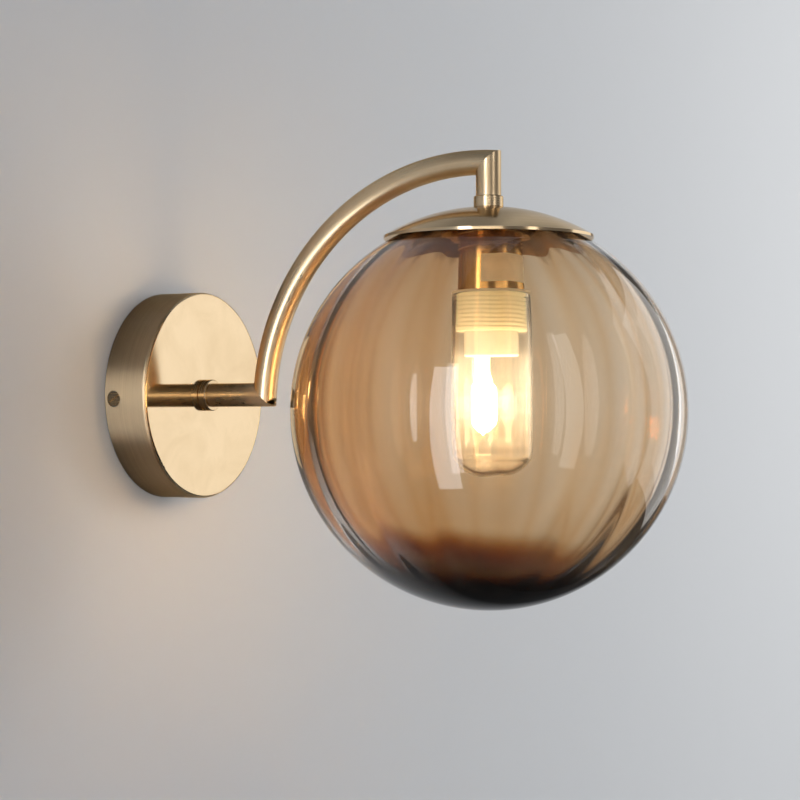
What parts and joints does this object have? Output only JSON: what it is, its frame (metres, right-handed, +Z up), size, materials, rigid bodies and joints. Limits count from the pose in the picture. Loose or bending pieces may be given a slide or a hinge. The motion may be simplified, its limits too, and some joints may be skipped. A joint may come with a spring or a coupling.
{
  "type": "globe wall sconce",
  "caption": "Wall sconce: round brass plate and curved tube arm carrying a fluted amber glass globe under a domed cap, with a capsule lamp in a clear inner tube.",
  "frame": {"origin": "centre of the wall fixing slots, on the bracket's back face, which lies on the wall", "axes": "+Y into the wall, so the lamp reaches out along -Y; +Z up; +X to the right seen from the room"},
  "size_m": [0.2, 0.2985, 0.2323],
  "materials": {
    "satin_brass": "satin, finely brushed antique brass under clear lacquer",
    "lampholder_brass": "drawn brass, warmer and glossier than the arm",
    "plain_brass": "bright turned brass",
    "zinc_steel": "zinc plated steel",
    "amber_glass": "smoky amber blown glass, clear and glossy",
    "clear_glass": "clear pressed glass",
    "lamp_glass": "clear quartz glass",
    "filament_metal": "coiled tungsten, glowing warm white",
    "pin_metal": "bright nickel wire",
    "white_ceramic": "unglazed white steatite",
    "seal_silicone": "translucent silicone",
    "gasket_rubber": "dark silicone rubber",
    "washer_fibre": "pressed fibre",
    "label_cream": "plain cream foil, bare",
    "block_plastic": "white moulded nylon",
    "live_sleeve": "brown heat-resistant sleeving",
    "neutral_sleeve": "blue heat-resistant sleeving",
    "earth_sleeve": "green sleeving with yellow stripes"
  },
  "bodies": {
    "wall_fitting": {"backplate_canopy": "satin_brass", "canopy_side_screws": "satin_brass", "plate_collar": "satin_brass", "arm_root_stub": "satin_brass", "curved_arm": "satin_brass", "drop_stub": "satin_brass", "cap_collar": "satin_brass", "globe_cap": "satin_brass", "lampholder_housing": "lampholder_brass", "thread_sleeve": "lampholder_brass", "root_bush": "plain_brass", "drop_bush": "plain_brass", "root_nipple": "plain_brass", "drop_nipple": "plain_brass", "terminal_inserts": "plain_brass", "socket_contacts": "plain_brass", "earth_ring_terminal": "plain_brass", "earth_tag_washer": "plain_brass", "mounting_bracket": "zinc_steel", "root_lock_nut": "zinc_steel", "drop_lock_nut": "zinc_steel", "drop_lock_washer": "zinc_steel", "cap_spacer": "zinc_steel", "terminal_screws": "zinc_steel", "block_screw": "zinc_steel", "earth_screw": "zinc_steel", "socket_clip_ring": "zinc_steel", "lamp_socket": "white_ceramic", "globe_gasket": "gasket_rubber", "rating_label": "label_cream", "terminal_block": "block_plastic", "live_wire": "live_sleeve", "neutral_wire": "neutral_sleeve", "earth_wire": "earth_sleeve"},
    "globe": {"glass_globe": "amber_glass", "globe_washer": "washer_fibre"},
    "ring_nut": {"globe_ring_nut": "lampholder_brass"},
    "seal": {"tube_seal": "seal_silicone"},
    "glass_tube": {"glass_tube": "clear_glass"},
    "lamp": {"lamp_capsule": "lamp_glass", "lamp_filament": "filament_metal", "lamp_pins": "pin_metal"}
  },
  "joints": [
    {"name": "globe_lower", "type": "slide", "parent": "wall_fitting", "child": "globe", "axis": [0, 0, -1], "range_m": [0, 0.006]},
    {"name": "ring_nut_turn", "type": "hinge", "parent": "globe", "child": "ring_nut", "pos_m": [0, -0.1985, 0.082], "axis": [0, 0, -1], "range_deg": [0, 1082]},
    {"name": "tube_turn", "type": "hinge", "parent": "wall_fitting", "child": "seal", "pos_m": [0, -0.1985, 0.0508], "axis": [0, 0, -1], "range_deg": [0, 2884]},
    {"name": "tube_lower", "type": "slide", "parent": "seal", "child": "glass_tube", "axis": [0, 0, -1], "range_m": [0, 0.0176]},
    {"name": "lamp_pull", "type": "slide", "parent": "wall_fitting", "child": "lamp", "axis": [0, 0, -1], "range_m": [0, 0.012]}
  ],
  "couplings": [
    {"joint": "ring_nut_turn", "follows": "globe_lower", "rad_per_m": 3141.6},
    {"joint": "tube_turn", "follows": "tube_lower", "rad_per_m": 2856}
  ]
}
